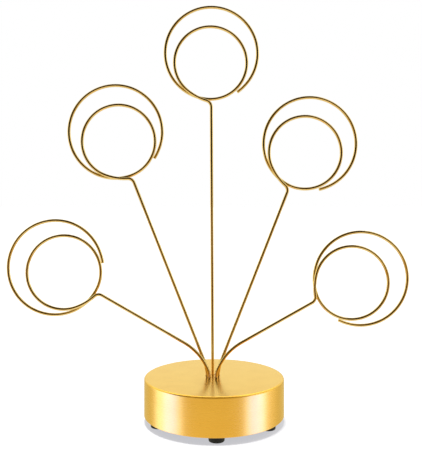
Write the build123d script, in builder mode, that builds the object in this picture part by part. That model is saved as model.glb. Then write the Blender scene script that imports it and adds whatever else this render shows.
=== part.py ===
# Photo tree stand: five sprung wire clips on stems that fan out of a round weighted base.
# Millimetres, +Z up, -Y towards the viewer. The origin is on the table, under the centre of the base.

import os
from math import ceil, copysign, cos, dist, pi, sin

from build123d import *

# Base drum
base_diameter = 80.0
base_height = 21.4
shell_wall = 1.0
shell_edge_radius = 1.0
shell_rim_chamfer = 0.25

# Bottom plate, set a little way up inside the drum
plate_thickness = 1.2
plate_recess = 0.5
plate_edge_gap = 0.2

# Cast weight, clamped between the plate and the flange of the wire socket
weight_edge_gap = 0.8
weight_bore_gap = 0.3
weight_edge_chamfer = 1.0

# Wire socket, brazed under the top of the drum
socket_flange_diameter = 24.0
socket_flange_thickness = 3.0
socket_diameter = 13.0
socket_plate_gap = 0.3
socket_edge_chamfer = 0.4

# Screw and washer that draw the plate up against the weight
screw_diameter = 4.0
screw_head_diameter = 7.6
screw_head_height = 2.1
screw_head_edge_radius = 0.7
screw_tip_chamfer = 0.5
screw_thread_gap = 0.04
screw_tip_gap = 1.2
socket_web = 1.5
recess_width = 0.9
recess_span = 4.0
recess_depth = 1.3
washer_diameter = 9.0
washer_thickness = 0.8
washer_bore_gap = 0.15

# Rubber feet, stuck on by hand at slightly uneven bearings (degrees round from +X)
foot_height = 4.2
foot_top_diameter = 9.5
foot_bottom_diameter = 8.3
foot_edge_radius = 0.5
foot_edge_inset = 0.75
foot_bearings = {
    "foot_front": -88.0,
    "foot_front_right": -27.0,
    "foot_rear_right": 49.0,
    "foot_rear_left": 125.0,
    "foot_front_left": 201.0,
}

# Wires: one diameter, rooted on a small circle of holes that lies a little left of the drum's middle
wire_diameter = 1.8
wire_tip_chamfer = 0.25
wire_seat_gap = 0.03
wire_hole_gap = 0.2
root_circle_diameter = 6.8
root_circle_shift = -0.8
first_root_bearing = 90.0
root_depth = 9.0
exit_rise = 1.0
exit_bend_radius = 8.0
sweep_bend_radius = 32.0

# Stems: how far each leans from upright (degrees, to the left seen from the front), its straight run, how far
# the wire then hooks aside, how much of a turn its inner circle makes and how far its end closes in (degrees).
# They are bent by hand.
centre_lean_angle = 0.3
centre_bend_radius = 300.0
centre_run = 152.5
centre_hook_angle = 72.7
centre_circle_angle = 324.4
centre_closing_angle = 13.8
left_inner_lean_angle = 21.5
left_inner_run = 109.3
left_inner_hook_angle = 71.5
left_inner_circle_angle = 320.4
left_inner_closing_angle = 16.0
left_outer_lean_angle = 60.1
left_outer_run = 54.1
left_outer_hook_angle = 71.5
left_outer_circle_angle = 314.1
left_outer_closing_angle = 20.5
right_inner_lean_angle = -21.4
right_inner_run = 103.1
right_inner_hook_angle = 68.9
right_inner_circle_angle = 324.8
right_inner_closing_angle = 10.6
right_outer_lean_angle = -60.6
right_outer_run = 46.1
right_outer_hook_angle = 68.8
right_outer_circle_angle = 325.1
right_outer_closing_angle = 10.5

# What the first bend of a side stem takes of its lean (degrees)
inner_exit_angle = 8.0
outer_exit_angle = 22.0

# Clip: the wire hooks aside, opens on a wide arc into the inner circle, passes behind its own start into the
# outer circle and lays its end along the inner one
hook_radius = 3.7
opening_radius = 32.2
opening_angle = 22.8
inner_circle_radius = 21.0
outer_circle_radius = 27.0
outer_circle_angle = 306.0
closing_radius = 31.5
photo_slot = 0.5
quarter_turn_angle = 90.0

# Heights that follow from those sizes
plate_bottom_z = foot_height
plate_top_z = plate_bottom_z + plate_thickness
shell_bottom_z = plate_bottom_z - plate_recess
shell_top_z = shell_bottom_z + base_height
ceiling_z = shell_top_z - shell_wall
flange_bottom_z = ceiling_z - socket_flange_thickness
socket_bottom_z = plate_top_z + socket_plate_gap
root_floor_z = shell_top_z - root_depth
washer_bottom_z = plate_bottom_z - washer_thickness
tap_top_z = root_floor_z - socket_web
screw_tip_z = tap_top_z - screw_tip_gap

# Radii that follow from those sizes
base_radius = base_diameter / 2
shell_inner_radius = base_radius - shell_wall
plate_radius = shell_inner_radius - plate_edge_gap
weight_radius = shell_inner_radius - weight_edge_gap
socket_radius = socket_diameter / 2
wire_radius = wire_diameter / 2
screw_radius = screw_diameter / 2
clearance_hole_radius = screw_radius + washer_bore_gap
foot_circle_radius = plate_radius - foot_edge_inset - foot_top_diameter / 2
root_circle_radius = root_circle_diameter / 2
root_circle_centre = Vector(root_circle_shift, 0, 0)
turn_pitch = wire_diameter + photo_slot


def side_bends(exit_angle, lean):
    """The two bends of a side stem, out of the base and on to its lean."""
    exit_angle = copysign(exit_angle, lean)
    return [(exit_bend_radius, exit_angle), (sweep_bend_radius, lean - exit_angle)]


# Each wire's bends, straight run, hook, inner circle and end, in the order of its root round the circle of holes
stems = {
    "wire_centre": (
        [(centre_bend_radius, centre_lean_angle)],
        centre_run,
        centre_hook_angle,
        centre_circle_angle,
        centre_closing_angle,
    ),
    "wire_left_inner": (
        side_bends(inner_exit_angle, left_inner_lean_angle),
        left_inner_run,
        left_inner_hook_angle,
        left_inner_circle_angle,
        left_inner_closing_angle,
    ),
    "wire_left_outer": (
        side_bends(outer_exit_angle, left_outer_lean_angle),
        left_outer_run,
        left_outer_hook_angle,
        left_outer_circle_angle,
        left_outer_closing_angle,
    ),
    "wire_right_outer": (
        side_bends(outer_exit_angle, right_outer_lean_angle),
        right_outer_run,
        right_outer_hook_angle,
        right_outer_circle_angle,
        right_outer_closing_angle,
    ),
    "wire_right_inner": (
        side_bends(inner_exit_angle, right_inner_lean_angle),
        right_inner_run,
        right_inner_hook_angle,
        right_inner_circle_angle,
        right_inner_closing_angle,
    ),
}

os.makedirs("parts", exist_ok=True)


def save(piece, label):
    piece.part.label = label
    export_step(piece.part, "parts/" + label + ".step")


def root_circles(radius):
    """A circle round the root of every wire."""
    with Locations(root_circle_centre):
        with PolarLocations(root_circle_radius, len(stems), start_angle=first_root_bearing):
            Circle(radius)


# Base shell: a drawn cup, open below, with a hole in its top for each wire
with BuildPart() as base_shell:
    with BuildSketch(Plane.XY.offset(shell_bottom_z)):
        Circle(base_radius)
    extrude(amount=base_height)
    fillet(base_shell.edges().group_by(Axis.Z)[-1], radius=shell_edge_radius)
    with BuildSketch(Plane.XY.offset(shell_bottom_z)):
        Circle(shell_inner_radius)
    extrude(amount=base_height - shell_wall, mode=Mode.SUBTRACT)
    chamfer(base_shell.edges().group_by(Axis.Z)[0], length=shell_rim_chamfer)
    with BuildSketch(Plane.XY.offset(ceiling_z)):
        root_circles(wire_radius + wire_hole_gap)
    extrude(amount=shell_wall, mode=Mode.SUBTRACT)
save(base_shell, "base_shell")

# Wire socket: a flanged boss with a blind seat for each wire and a tapped hole below
with BuildPart() as wire_socket:
    with BuildSketch(Plane.XY.offset(flange_bottom_z)):
        Circle(socket_flange_diameter / 2)
    extrude(amount=socket_flange_thickness)
    with BuildSketch(Plane.XY.offset(socket_bottom_z)):
        Circle(socket_radius)
    extrude(amount=flange_bottom_z - socket_bottom_z)
    chamfer(wire_socket.edges().group_by(Axis.Z)[0], length=socket_edge_chamfer)
    with BuildSketch(Plane.XY.offset(root_floor_z)):
        root_circles(wire_radius + wire_seat_gap)
    extrude(amount=ceiling_z - root_floor_z, mode=Mode.SUBTRACT)
    with BuildSketch(Plane.XY.offset(socket_bottom_z)):
        Circle(screw_radius + screw_thread_gap)
    extrude(amount=tap_top_z - socket_bottom_z, mode=Mode.SUBTRACT)
save(wire_socket, "wire_socket")

# Base weight: a cast disc round the socket, which fills most of the drum
with BuildPart() as base_weight:
    with BuildSketch(Plane.XY.offset(plate_top_z)):
        Circle(weight_radius)
    extrude(amount=flange_bottom_z - plate_top_z)
    chamfer(base_weight.edges().filter_by(GeomType.CIRCLE), length=weight_edge_chamfer)
    with BuildSketch(Plane.XY.offset(plate_top_z)):
        Circle(socket_radius + weight_bore_gap)
    extrude(amount=flange_bottom_z - plate_top_z, mode=Mode.SUBTRACT)
save(base_weight, "base_weight")

# Bottom plate: a flat disc that closes the drum
with BuildPart() as bottom_plate:
    with BuildSketch(Plane.XY.offset(plate_bottom_z)):
        Circle(plate_radius)
        Circle(clearance_hole_radius, mode=Mode.SUBTRACT)
    extrude(amount=plate_thickness)
save(bottom_plate, "bottom_plate")

# Washer under the screw's head
with BuildPart() as retaining_washer:
    with BuildSketch(Plane.XY.offset(washer_bottom_z)):
        Circle(washer_diameter / 2)
        Circle(clearance_hole_radius, mode=Mode.SUBTRACT)
    extrude(amount=washer_thickness)
save(retaining_washer, "retaining_washer")

# Screw: a low pan head with a cross recess, and a plain shank in place of the thread
with BuildPart() as retaining_screw:
    with BuildSketch(Plane.XY.offset(washer_bottom_z)):
        Circle(screw_head_diameter / 2)
    extrude(amount=-screw_head_height)
    fillet(retaining_screw.edges().group_by(Axis.Z)[0], radius=screw_head_edge_radius)
    with BuildSketch(Plane.XY.offset(washer_bottom_z - screw_head_height)):
        Rectangle(recess_span, recess_width)
        Rectangle(recess_width, recess_span)
    extrude(amount=recess_depth, mode=Mode.SUBTRACT)
    with BuildSketch(Plane.XY.offset(washer_bottom_z)):
        Circle(screw_radius)
    extrude(amount=screw_tip_z - washer_bottom_z)
    chamfer(retaining_screw.edges().group_by(Axis.Z)[-1], length=screw_tip_chamfer)
save(retaining_screw, "retaining_screw")

# Feet: moulded rubber bumpers with a draft, stuck under the plate
for label, bearing in foot_bearings.items():
    with BuildPart() as foot:
        with PolarLocations(foot_circle_radius, 1, start_angle=bearing):
            Cone(
                foot_bottom_diameter / 2,
                foot_top_diameter / 2,
                foot_height,
                align=(Align.CENTER, Align.CENTER, Align.MIN),
            )
        fillet(foot.edges().group_by(Axis.Z)[0], radius=foot_edge_radius)
    save(foot, label)


def biarc(start, start_tangent, end, end_tangent):
    """Two arcs in a row that leave start and reach end along the given unit tangents."""
    chord = end - start
    both = start_tangent + end_tangent
    spread = 2 * (1 - start_tangent.dot(end_tangent))
    reach = (-chord.dot(both) + (chord.dot(both) ** 2 + spread * chord.dot(chord)) ** 0.5) / spread
    leave = start + start_tangent * reach
    arrive = end - end_tangent * reach
    middle = (leave + arrive) * 0.5
    TangentArc(start, middle, tangent=start_tangent)
    TangentArc(middle, end, tangent=(arrive - leave).normalized())


def turn(start, heading, arcs, set_back):
    """A clockwise turn seen from the front, made of arcs in a row, in spans of a quarter turn or less.

    It eases backwards by set_back over its length. Returns its end, its heading and the last arc's centre.
    """
    length = sum(radius * angle for radius, angle in arcs) * pi / 180
    before = 0
    for radius, angle in arcs:
        inward = heading.rotate(Axis.Y, quarter_turn_angle)
        centre = start + inward * radius
        spans = ceil(angle / quarter_turn_angle)

        def station(share):
            done = (before + radius * angle * share * pi / 180) / length
            spoke = (inward * -radius).rotate(Axis.Y, angle * share)
            back = set_back * (1 - cos(pi * done)) / 2
            slope = set_back * pi * sin(pi * done) / 2 / length
            along = heading.rotate(Axis.Y, angle * share) + Vector(0, slope, 0)
            return centre + spoke + Vector(0, back, 0), along.normalized()

        for span in range(spans):
            here, here_tangent = station(span / spans)
            there, there_tangent = station((span + 1) / spans)
            biarc(here, here_tangent, there, there_tangent)
        before += radius * angle * pi / 180
        start = centre - (inward * radius).rotate(Axis.Y, angle)
        heading = heading.rotate(Axis.Y, angle)
    return start + Vector(0, set_back, 0), heading, centre


def least_gap(path, radius):
    """The least clear distance of a tube from itself, measured on points along its path."""
    count = ceil(path.length / radius)
    steps = [path.length * i / count for i in range(count + 1)]
    points = [tuple(point) for point in path.positions(steps, PositionMode.LENGTH)]
    apart = ceil(pi * hook_radius / radius)
    pairs = ((i, j) for i in range(count + 1) for j in range(i + apart, count + 1))
    return min(dist(points[i], points[j]) for i, j in pairs) - 2 * radius


# Wires: each is one bent wire, with its root, its bends out to the lean, its stem and a clip of two turns
opening = (opening_radius, opening_angle)
outer_circle = (outer_circle_radius, outer_circle_angle)
for order, (label, (bends, run, hook_angle, circle_angle, closing_angle)) in enumerate(stems.items()):
    bearing = first_root_bearing + 360 * order / len(stems)
    root = root_circle_centre + Vector(root_circle_radius, 0, 0).rotate(Axis.Z, bearing)
    with BuildPart() as wire:
        with BuildLine(Plane.XZ.offset(-root.Y)) as stem:
            tail = Line((root.X, root_floor_z), (root.X, shell_top_z + exit_rise))
            for radius, angle in bends:
                tail = JernArc(tail @ 1, tail % 1, radius, angle)
            straight = Line(tail @ 1, tail @ 1 + (tail % 1) * run)
            hook = JernArc(straight @ 1, straight % 1, hook_radius, hook_angle)
        with BuildLine() as clip:
            inner_turn = [opening, (inner_circle_radius, circle_angle)]
            end, heading, centre = turn(hook @ 1, hook % 1, inner_turn, turn_pitch)
            outer_turn = [outer_circle, (closing_radius, closing_angle)]
            turn(end, heading, outer_turn, turn_pitch)
        path = Wire(stem.edges() + clip.edges())
        with BuildSketch(Plane(origin=path @ 0, z_dir=path % 0)):
            Circle(wire_radius)
        sweep(path=path)
        tip = wire.faces().filter_by(GeomType.PLANE).sort_by_distance(path @ 1)[0]
        chamfer(tip.edges(), length=wire_tip_chamfer)
    whole = pi * wire_radius**2 * path.length
    print(label, "length", round(path.length, 1), "volume share", round(wire.part.volume / whole, 4))
    print("  least gap to itself", round(least_gap(path, wire_radius), 3))
    print("  inner circle's centre", [round(number, 2) for number in centre])
    save(wire, label)
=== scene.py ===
from math import cos, pi, radians, sin, tan

import bpy
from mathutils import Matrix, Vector

# Photo tree stand: five gold wire clips on a satin gold drum. Metres, +Z up, the viewer on the -Y side.

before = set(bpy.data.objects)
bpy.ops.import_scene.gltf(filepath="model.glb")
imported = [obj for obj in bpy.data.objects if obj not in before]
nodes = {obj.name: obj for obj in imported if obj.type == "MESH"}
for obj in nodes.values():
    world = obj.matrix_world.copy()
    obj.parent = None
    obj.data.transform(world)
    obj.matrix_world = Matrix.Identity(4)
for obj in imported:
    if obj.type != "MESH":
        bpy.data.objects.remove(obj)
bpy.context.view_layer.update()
scene = bpy.context.scene
bpy.ops.object.select_all(action="DESELECT")
print("frame loaded,", len(nodes), "nodes")


def toLinear(hexColour):
    channels = [int(hexColour[i:i + 2], 16) / 255 for i in (1, 3, 5)]
    return [c / 12.92 if c <= 0.04045 else ((c + 0.055) / 1.055) ** 2.4 for c in channels] + [1.0]


# Adds a node with its settings, its links and its fixed values. A Mix node's inputs go by number: 2 and 3 are its
# two values, 6 and 7 its two colours.
def addNode(tree, kind, settings=None, inputs=None):
    node = tree.nodes.new(kind)
    for name, value in (settings or {}).items():
        setattr(node, name, value)
    for key, value in (inputs or {}).items():
        if isinstance(value, bpy.types.NodeSocket):
            tree.links.new(value, node.inputs[key])
        else:
            node.inputs[key].default_value = value
    return node


# Camera: level, square to the fan of wires, with the picture slid up a little
cameraView = {
    "place": (-0.00178, -0.400, 0.1343),
    "lens": 55.68,
    "sensor": 36,
    "upShift": -39 / 450,  # of the picture's height
    "nearest": 0.01,
}
bpy.ops.object.camera_add(location=cameraView["place"], rotation=(pi / 2, 0, 0))
camera = bpy.context.object
camera.data.lens = cameraView["lens"]
camera.data.sensor_width = cameraView["sensor"]
camera.data.shift_y = cameraView["upShift"]
camera.data.clip_start = cameraView["nearest"]
scene.camera = camera
scene.view_settings.view_transform = "Standard"
print("camera set")

# Studio: a white tent. Each panel is a soft-edged patch of it, in degrees: azimuth from the camera's side, to the
# right, elevation, the softness of its edges, how far it leans to the left for each degree that it rises, and its
# brightness. A later panel covers the ones before it, and the camera sees plain white.
studio = {
    "tent": (1.05, 1.05, 1.05),
    "panels": {
        "farWallLow": {
            "azimuth": (112, 248), "elevation": (-42, 5), "soft": (14, 6), "lean": 0, "light": (0.82, 0.78, 0.4),
        },
        "farWallHigh": {
            "azimuth": (110, 250), "elevation": (7, 42), "soft": (14, 4), "lean": 0, "light": (1.08, 1.15, 0.88),
        },
        "sideGlow": {
            "azimuth": (-112, 112), "elevation": (-13, 20), "soft": (10, 4), "lean": 0.4, "light": (1.6, 1.6, 1.5),
        },
        "warmLow": {
            "azimuth": (-66, 66), "elevation": (-30, -12), "soft": (8, 4), "lean": 0, "light": (0.5, 0.3, 0.04),
        },
        "darkRoom": {
            "azimuth": (-69, 69), "elevation": (-12, 100), "soft": (6, 4), "lean": 0.35, "light": (0.03, 0.027, 0.02),
        },
        "warmTable": {
            "azimuth": (-66, 66), "elevation": (-12, -1), "soft": (6, 2), "lean": 0, "light": (0.16, 0.075, 0.02),
        },
        "darkRoof": {
            "azimuth": (-181, 181), "elevation": (70, 91), "soft": (1, 4), "lean": 0, "light": (0.05, 0.045, 0.03),
        },
    },
    "seen": (1.0, 1.0, 1.0),
}
world = bpy.data.worlds.new("studioTent")
scene.world = world
world.use_nodes = True
tree = world.node_tree
tree.nodes.clear()
direction = addNode(tree, "ShaderNodeTexCoord").outputs["Generated"]
axes = addNode(tree, "ShaderNodeSeparateXYZ", inputs={0: direction})
towards = addNode(tree, "ShaderNodeMath", {"operation": "MULTIPLY"}, {0: axes.outputs["Y"], 1: -1.0})
azimuth = addNode(tree, "ShaderNodeMath", {"operation": "ARCTAN2"}, {0: axes.outputs["X"], 1: towards.outputs[0]})
elevation = addNode(tree, "ShaderNodeMath", {"operation": "ARCSINE"}, {0: axes.outputs["Z"]})
light = (*studio["tent"], 1)
for name, panel in studio["panels"].items():
    leaning = addNode(tree, "ShaderNodeMath", {"operation": "MULTIPLY_ADD"}, {
        0: elevation.outputs[0], 1: panel["lean"], 2: azimuth.outputs[0],
    })
    masks = []
    for angle, span, soft in (
        (leaning, panel["azimuth"], panel["soft"][0]),
        (elevation, panel["elevation"], panel["soft"][1]),
    ):
        middle, half = (span[0] + span[1]) / 2, (span[1] - span[0]) / 2
        offset = addNode(tree, "ShaderNodeMath", {"operation": "SUBTRACT"}, {
            0: angle.outputs[0], 1: radians(middle),
        })
        turned = addNode(tree, "ShaderNodeMath", {"operation": "WRAP"}, {0: offset.outputs[0], 1: pi, 2: -pi})
        away = addNode(tree, "ShaderNodeMath", {"operation": "ABSOLUTE"}, {0: turned.outputs[0]})
        masks.append(addNode(tree, "ShaderNodeMapRange", {"interpolation_type": "SMOOTHSTEP"}, {
            "Value": away.outputs[0], "From Min": radians(half - soft), "From Max": radians(half + soft),
            "To Min": 1.0, "To Max": 0.0,
        }))
    mask = addNode(tree, "ShaderNodeMath", {"operation": "MULTIPLY"}, {
        0: masks[0].outputs[0], 1: masks[1].outputs[0],
    })
    blend = addNode(tree, "ShaderNodeMix", {"data_type": "RGBA"}, {
        "Factor": mask.outputs[0], 6: light, 7: (*panel["light"], 1),
    })
    light = blend.outputs[2]
tent = addNode(tree, "ShaderNodeBackground", inputs={"Color": light})
seen = addNode(tree, "ShaderNodeBackground", inputs={"Color": (*studio["seen"], 1)})
ray = addNode(tree, "ShaderNodeLightPath")
either = addNode(tree, "ShaderNodeMixShader", inputs={
    0: ray.outputs["Is Camera Ray"], 1: tent.outputs[0], 2: seen.outputs[0],
})
addNode(tree, "ShaderNodeOutputWorld", inputs={"Surface": either.outputs[0]})
print("tent set,", len(studio["panels"]), "panels")

# Floor: a plain pale light table, seen from above only
floor = {"size": 8.0, "glow": (0.535, 0.54, 0.575), "paper": (0.3, 0.3, 0.3)}
bpy.ops.mesh.primitive_plane_add(size=floor["size"], location=(0, 0, 0))
table = bpy.context.object
table.name = "tableTop"
table.visible_glossy = False
table.visible_shadow = False
paper = bpy.data.materials.new("whiteTable")
paper.use_nodes = True
tree = paper.node_tree
tree.nodes.clear()
dull = addNode(tree, "ShaderNodeBsdfDiffuse", inputs={"Color": (*floor["paper"], 1)})
glow = addNode(tree, "ShaderNodeEmission", inputs={"Color": (*floor["glow"], 1)})
both = addNode(tree, "ShaderNodeAddShader", inputs={0: dull.outputs[0], 1: glow.outputs[0]})
below = addNode(tree, "ShaderNodeNewGeometry")
clear = addNode(tree, "ShaderNodeBsdfTransparent")
side = addNode(tree, "ShaderNodeMixShader", inputs={
    0: below.outputs["Backfacing"], 1: both.outputs[0], 2: clear.outputs[0],
})
addNode(tree, "ShaderNodeOutputMaterial", inputs={"Surface": side.outputs[0]})
table.data.materials.append(paper)
print("table set")

# One far lamp overhead for the soft shadow under the drum, with its tilt to the side and its spread in radians. The
# wires are left out of it, because the shadow of so thin a wire doesn't show.
topLight = {"place": (0.0, 0.0, 1.1), "tilt": -0.03, "spread": 0.16, "power": 4.8}
bpy.ops.object.light_add(type="SUN", location=topLight["place"], rotation=(0, topLight["tilt"], 0))
lamp = bpy.context.object
lamp.name = "topLight"
lamp.data.angle = topLight["spread"]
lamp.data.energy = topLight["power"]
lamp.visible_glossy = False
lamp.visible_camera = False
shadowCasters = bpy.data.collections.new("shadowCasters")
for name, node in nodes.items():
    if not name.startswith("wire_"):
        shadowCasters.objects.link(node)
lamp.light_linking.blocker_collection = shadowCasters

# Soft boxes that light the drum alone, so the wires keep their dark room. Each has its azimuth and elevation in
# degrees, as above, and its brightness. A core stops a degree short of its box, because two lamps with one middle
# lose the light of one of them.
softBoxes = {
    "distance": 1.5,
    "aim": (0.0, 0.0, 0.014),
    "watts": 4,  # what each square metre takes for a brightness of 1
    "boxes": {
        "leftBox": {"azimuth": (-106, -54), "elevation": (-50, 10), "light": (0.5, 0.82, 2.3)},
        "leftCore": {"azimuth": (-87, -62), "elevation": (-50, 9), "light": (0.0, 0.06, 5.2)},
        "rightBox": {"azimuth": (51, 90), "elevation": (-50, 10), "light": (0.5, 0.85, 2.4)},
        "rightCore": {"azimuth": (57, 84), "elevation": (-50, 9), "light": (0.0, 0.06, 5.2)},
        "frontLow": {"azimuth": (-58, 58), "elevation": (-50, -2), "light": (0.4, 0.46, 0.45)},
        "frontHaze": {"azimuth": (-50, 50), "elevation": (8, 50), "light": (0.45, 0.36, 0.14)},
        "overhead": {"azimuth": (-40, 40), "elevation": (76, 140), "light": (1.0, 0.97, 0.9)},
    },
}
drumOnly = bpy.data.collections.new("drumOnly")
drumOnly.objects.link(nodes["base_shell"])
aim = Vector(softBoxes["aim"])
for name, box in softBoxes["boxes"].items():
    (left, right), (low, high) = box["azimuth"], box["elevation"]
    across, up = radians(left + right) / 2, radians(low + high) / 2
    towardsBox = Vector((sin(across) * cos(up), -cos(across) * cos(up), sin(up)))
    bpy.ops.object.light_add(
        type="AREA",
        location=aim + towardsBox * softBoxes["distance"],
        rotation=towardsBox.to_track_quat("Z", "Y").to_euler(),
    )
    lamp = bpy.context.object
    lamp.name = name
    lamp.data.shape = "RECTANGLE"
    lamp.data.size = 2 * softBoxes["distance"] * tan(radians(right - left) / 2)
    lamp.data.size_y = 2 * softBoxes["distance"] * tan(radians(high - low) / 2)
    brightest = max(box["light"])
    lamp.data.color = [channel / brightest for channel in box["light"]]
    lamp.data.energy = softBoxes["watts"] * brightest * lamp.data.size * lamp.data.size_y
    lamp.visible_camera = False
    lamp.light_linking.receiver_collection = drumOnly
print("lights set")

finishes = {}

# How the noises are read: how finely they break up, and the part of their range over which colour and gloss change
noise = {"detail": 3.0, "colourSpan": (0.35, 0.7), "glossSpan": (0.3, 0.7)}


# A material in soft patches of two colours, still without its own gloss and relief
def startFinish(name, look):
    made = bpy.data.materials.new(name)
    made.use_nodes = True
    tree = made.node_tree
    shader = tree.nodes["Principled BSDF"]
    for socket, value in look["shader"].items():
        shader.inputs[socket].default_value = value
    place = addNode(tree, "ShaderNodeTexCoord")
    patches = addNode(tree, "ShaderNodeTexNoise", inputs={
        "Vector": place.outputs["Object"], "Scale": 1 / look["patch"], "Detail": noise["detail"],
    })
    share = addNode(tree, "ShaderNodeMapRange", inputs={
        "Value": patches.outputs[0], "From Min": noise["colourSpan"][0], "From Max": noise["colourSpan"][1],
    })
    colour = addNode(tree, "ShaderNodeMix", {"data_type": "RGBA"}, {
        "Factor": share.outputs[0], 6: toLinear(look["colours"][0]), 7: toLinear(look["colours"][1]),
    })
    tree.links.new(colour.outputs[2], shader.inputs["Base Color"])
    return made, tree, shader, place, patches


# Rings left by a lathe or a belt, one after another outwards and up the side. Each runs ringLap metres before it
# changes, at the piece's own radius.
def turnedRings(tree, place, look):
    flat = addNode(tree, "ShaderNodeVectorMath", {"operation": "MULTIPLY"}, {
        0: place.outputs["Object"], 1: (1, 1, 0),  # leaves the height out
    })
    out = addNode(tree, "ShaderNodeVectorMath", {"operation": "LENGTH"}, {0: flat.outputs["Vector"]})
    spoke = addNode(tree, "ShaderNodeVectorMath", {"operation": "NORMALIZE"}, {0: flat.outputs["Vector"]})
    around = addNode(tree, "ShaderNodeVectorMath", {"operation": "SCALE"}, {
        0: spoke.outputs["Vector"], "Scale": look["radius"] / look["ringLap"],
    })
    height = addNode(tree, "ShaderNodeSeparateXYZ", inputs={0: place.outputs["Object"]})
    outAndUp = addNode(tree, "ShaderNodeMath", {"operation": "ADD"}, {
        0: out.outputs["Value"], 1: height.outputs["Z"],
    })
    step = addNode(tree, "ShaderNodeMath", {"operation": "DIVIDE"}, {0: outAndUp.outputs[0], 1: look["ringGap"]})
    across = addNode(tree, "ShaderNodeCombineXYZ", inputs={"Z": step.outputs[0]})
    ringPlace = addNode(tree, "ShaderNodeVectorMath", {"operation": "ADD"}, {
        0: around.outputs["Vector"], 1: across.outputs[0],
    })
    return addNode(tree, "ShaderNodeTexNoise", inputs={
        "Vector": ringPlace.outputs["Vector"], "Scale": 1.0, "Detail": noise["detail"],
    })


# Spreads the roughness over one noise and bends the light over another, depth metres deep
def glossAndGrain(tree, shader, worn, roughness, relief, depth):
    gloss = addNode(tree, "ShaderNodeMapRange", inputs={
        "Value": worn.outputs[0], "From Min": noise["glossSpan"][0], "From Max": noise["glossSpan"][1],
        "To Min": roughness[0], "To Max": roughness[1],
    })
    bump = addNode(tree, "ShaderNodeBump", inputs={"Height": relief.outputs[0], "Distance": depth})
    tree.links.new(gloss.outputs[0], shader.inputs["Roughness"])
    tree.links.new(bump.outputs[0], shader.inputs["Normal"])
    return gloss


# Satin gold plate on a drawn steel cup, turned against an abrasive belt: fine rings that run round the drum and
# give the eye upright soft-edged reflections. The top is a little smoother, with faint patches in the plate.
drumFinish = {
    "shader": {"Metallic": 1.0},
    "colours": ("#E8B54A", "#E4B046"),
    "patch": 0.013,
    "ringGap": 0.0009,  # the real lines lie under 0.1 mm apart, too fine to show, so they are drawn coarser
    "ringLap": 0.05,
    "radius": 0.04,
    "sideRoughness": (0.269, 0.279),
    "topRoughness": (0.24, 0.26),
    "ringDepth": 0.00000006,
    "topStarts": (0.6, 0.98),  # how far a face points up, from the round of the rim to the flat
}
made, tree, shader, place, patches = startFinish("satinGoldPlate", drumFinish)
rings = turnedRings(tree, place, drumFinish)
sideGloss = glossAndGrain(tree, shader, rings, drumFinish["sideRoughness"], rings, drumFinish["ringDepth"])
topGloss = addNode(tree, "ShaderNodeMapRange", inputs={
    "Value": patches.outputs[0], "From Min": noise["glossSpan"][0], "From Max": noise["glossSpan"][1],
    "To Min": drumFinish["topRoughness"][0], "To Max": drumFinish["topRoughness"][1],
})
facing = addNode(tree, "ShaderNodeSeparateXYZ", inputs={0: place.outputs["Normal"]})
top = addNode(tree, "ShaderNodeMapRange", {"interpolation_type": "SMOOTHSTEP"}, {
    "Value": facing.outputs["Z"], "From Min": drumFinish["topStarts"][0], "From Max": drumFinish["topStarts"][1],
})
gloss = addNode(tree, "ShaderNodeMix", {"data_type": "FLOAT"}, {
    "Factor": top.outputs[0], 2: sideGloss.outputs[0], 3: topGloss.outputs[0],
})
tree.links.new(gloss.outputs[0], shader.inputs["Roughness"])  # takes the place of the side's gloss alone
finishes["satin_gold_plate"] = made

# Free-cutting brass turned on a lathe: the feed leaves concentric grooves that glint in a thin arc
socketFinish = {
    "shader": {"Metallic": 1.0},
    "colours": ("#D8B865", "#C6A04E"),
    "patch": 0.006,
    "ringGap": 0.0004,  # a feed of 0.1 mm a turn, drawn coarser
    "ringLap": 0.03,
    "radius": 0.008,
    "roughness": (0.22, 0.36),
    "ringDepth": 0.000004,
}
made, tree, shader, place, patches = startFinish("turnedBrass", socketFinish)
rings = turnedRings(tree, place, socketFinish)
glossAndGrain(tree, shader, rings, socketFinish["roughness"], rings, socketFinish["ringDepth"])
finishes["turned_brass"] = made

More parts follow.
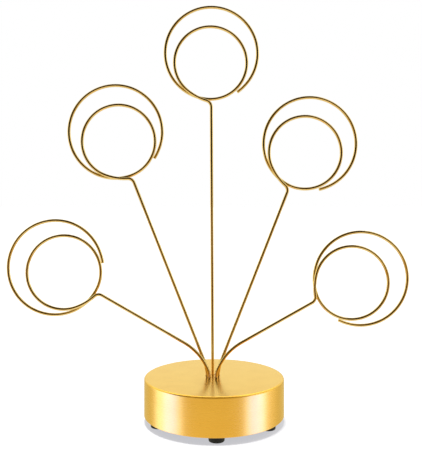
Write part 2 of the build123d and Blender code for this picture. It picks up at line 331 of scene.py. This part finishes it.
# The rest have a grain that only bends the light, and soft patches of colour and gloss
grainedFinishes = {
    # Gold plate over polished, drawn steel wire: bright and smooth, with a faint haze from handling
    "polished_gold_wire": {
        "name": "polishedGoldWire", "shader": {"Metallic": 1.0}, "colours": ("#EACC84", "#E2BF70"),
        "patch": 0.004, "roughness": (0.07, 0.13), "grain": 0.0006, "grainDepth": 0.0000012,
    },
    # Grey iron as it leaves a sand mould: dull and dark, pitted by the sand, whose grit of 0.3 mm is drawn coarser
    "cast_iron": {
        "name": "castIron", "shader": {"Metallic": 1.0}, "colours": ("#5C5D60", "#4A4744"),
        "patch": 0.009, "roughness": (0.5, 0.72), "grain": 0.0009, "grainDepth": 0.00012,
    },
    # Black enamel stoved on pressed steel: a satin skin with a slight orange peel, 2 mm from crest to crest
    "black_enamel": {
        "name": "blackEnamel", "shader": {"IOR": 1.5, "Specular IOR Level": 0.35}, "colours": ("#0F1011", "#151616"),
        "patch": 0.015, "roughness": (0.28, 0.4), "grain": 0.002, "grainDepth": 0.00002,
    },
    # Zinc plate with a clear passivation: bluish silver with faint straw-coloured patches
    "zinc_plate": {
        "name": "zincPlate", "shader": {"Metallic": 1.0}, "colours": ("#C6CDD2", "#CDC7B2"),
        "patch": 0.003, "roughness": (0.24, 0.4), "grain": 0.0005, "grainDepth": 0.000004,
    },
    # Soft black rubber from a moulded sheet of bumpers: dull, close to neutral, with a fine moulded grain of
    # 0.1 mm that is drawn coarser
    "black_rubber": {
        "name": "blackRubber", "shader": {"IOR": 1.52, "Specular IOR Level": 0.3}, "colours": ("#15170F", "#242218"),
        "patch": 0.004, "roughness": (0.55, 0.75), "grain": 0.0004, "grainDepth": 0.00001,
    },
}
for slotName, look in grainedFinishes.items():
    made, tree, shader, place, patches = startFinish(look["name"], look)
    grain = addNode(tree, "ShaderNodeTexNoise", inputs={
        "Vector": place.outputs["Object"], "Scale": 1 / look["grain"],
    })
    glossAndGrain(tree, shader, patches, look["roughness"], grain, look["grainDepth"])
    finishes[slotName] = made

for node in nodes.values():
    slotName = node.data.materials[0].name
    node.material_slots[0].material = finishes[slotName]
print("finishes set,", len(finishes), "materials")
